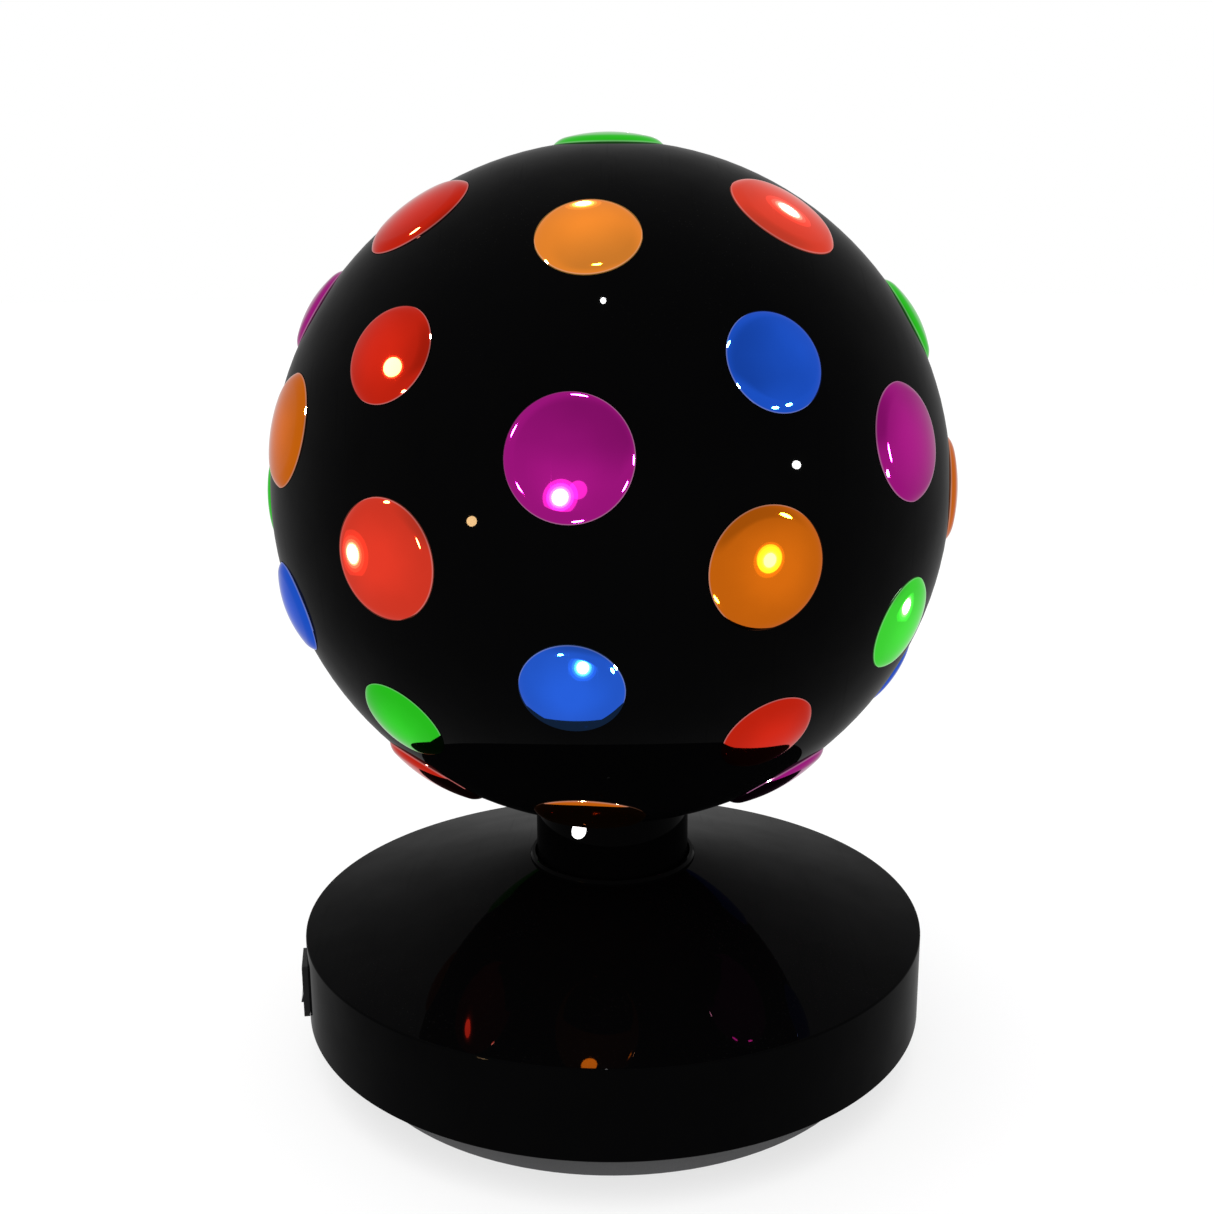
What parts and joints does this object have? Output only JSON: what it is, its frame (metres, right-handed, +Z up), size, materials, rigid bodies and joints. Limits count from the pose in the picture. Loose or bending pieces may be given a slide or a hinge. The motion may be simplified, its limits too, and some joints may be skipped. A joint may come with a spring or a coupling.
{
  "type": "disco light",
  "caption": "Round table disco light: a gloss black ball with domed coloured lenses turns on a neck over a wide cone-topped base with a rocker switch and a rear power inlet.",
  "frame": {"origin": "middle of the object's footprint, on the surface it stands on", "axes": "+Z up along the ball's turning axis, -Y towards the front, +X to the right seen from the front"},
  "size_m": [0.2046, 0.2018, 0.2805],
  "materials": {
    "black_gloss": "moulded black plastic, high gloss",
    "black_matte": "moulded black plastic, fine matt grain",
    "black_rocker": "satin black plastic",
    "grey_plastic": "moulded dark grey plastic",
    "rubber": "soft black rubber",
    "zinc_steel": "zinc-plated steel",
    "sheet_steel": "plain steel",
    "brass": "turned brass or bronze",
    "aluminium": "extruded aluminium",
    "gear_plastic": "natural nylon",
    "circuit_board": "brown single-sided circuit board",
    "lamp_board": "white solder mask over aluminium",
    "coil_tape": "yellow coil tape on a dark core",
    "capacitor_sleeve": "shrink sleeve",
    "terminal_green": "green terminal plastic",
    "fuse_glass": "glass tube with metal caps",
    "lead_sheath": "grey wire sheath",
    "led_red": "red light",
    "led_green": "green light",
    "led_blue": "blue light",
    "led_white": "warm white light",
    "lens_red": "clear red plastic, polished",
    "lens_amber": "clear amber plastic, polished",
    "lens_green": "clear green plastic, polished",
    "lens_blue": "clear blue plastic, polished",
    "lens_magenta": "clear magenta plastic, polished"
  },
  "bodies": {
    "base": {"base_cover": "black_gloss", "base_plate": "grey_plastic", "base_screws": "zinc_steel", "board_screws": "zinc_steel", "capacitors": "capacitor_sleeve", "chassis_plate": "sheet_steel", "chassis_screws": "zinc_steel", "circlip": "zinc_steel", "driver_board": "circuit_board", "fuse": "fuse_glass", "hub_ring": "black_matte", "inlet_housing": "black_matte", "inlet_pins": "brass", "keeper_washer": "zinc_steel", "lamp_board_screws": "zinc_steel", "lamp_core": "aluminium", "lamp_lead": "lead_sheath", "lamp_post": "sheet_steel", "lamp_set_screw": "zinc_steel", "led_white": "led_white", "leds_blue": "led_blue", "leds_green": "led_green", "leds_red": "led_red", "lower_bush": "brass", "motor_body": "zinc_steel", "motor_lead": "lead_sheath", "motor_screws": "zinc_steel", "post_lower_nut": "brass", "post_upper_nut": "brass", "rubber_feet": "rubber", "side_boards": "lamp_board", "supply_lead": "lead_sheath", "switch_contacts": "brass", "switch_housing": "black_matte", "switch_leads": "lead_sheath", "terminal_blocks": "terminal_green", "thrust_washer": "gear_plastic", "top_board": "lamp_board", "transformer": "coil_tape", "upper_bush": "brass"},
    "ball": {"ball_upper_shell": "black_gloss", "ball_lower_shell": "black_gloss", "neck_sleeve": "black_gloss", "neck_lock_ring": "black_matte", "ring_gear": "gear_plastic", "sleeve_screws": "zinc_steel", "lenses_large_amber": "lens_amber", "lenses_large_blue": "lens_blue", "lenses_large_green": "lens_green", "lenses_large_magenta": "lens_magenta", "lenses_large_red": "lens_red", "lenses_small_amber": "lens_amber", "lenses_small_blue": "lens_blue", "lenses_small_green": "lens_green", "lenses_small_magenta": "lens_magenta", "lenses_small_red": "lens_red"},
    "pinion": {"drive_pinion": "gear_plastic", "motor_shaft": "sheet_steel"},
    "rocker": {"switch_rocker": "black_rocker"}
  },
  "joints": [
    {"name": "ball_spin", "type": "hinge", "parent": "base", "child": "ball", "pos_m": [0, 0, 0.178], "axis": [0, 0, 1], "continuous": true},
    {"name": "pinion_spin", "type": "hinge", "parent": "base", "child": "pinion", "pos_m": [0.0375, 0, 0.045], "axis": [0, 0, 1], "continuous": true},
    {"name": "rocker_tilt", "type": "hinge", "parent": "base", "child": "rocker", "pos_m": [-0.09344, -0.0148, 0.0236], "axis": [0.1564, -0.9877, 0], "range_deg": [0, 16]}
  ],
  "couplings": [
    {"joint": "pinion_spin", "follows": "ball_spin", "ratio": -4}
  ]
}
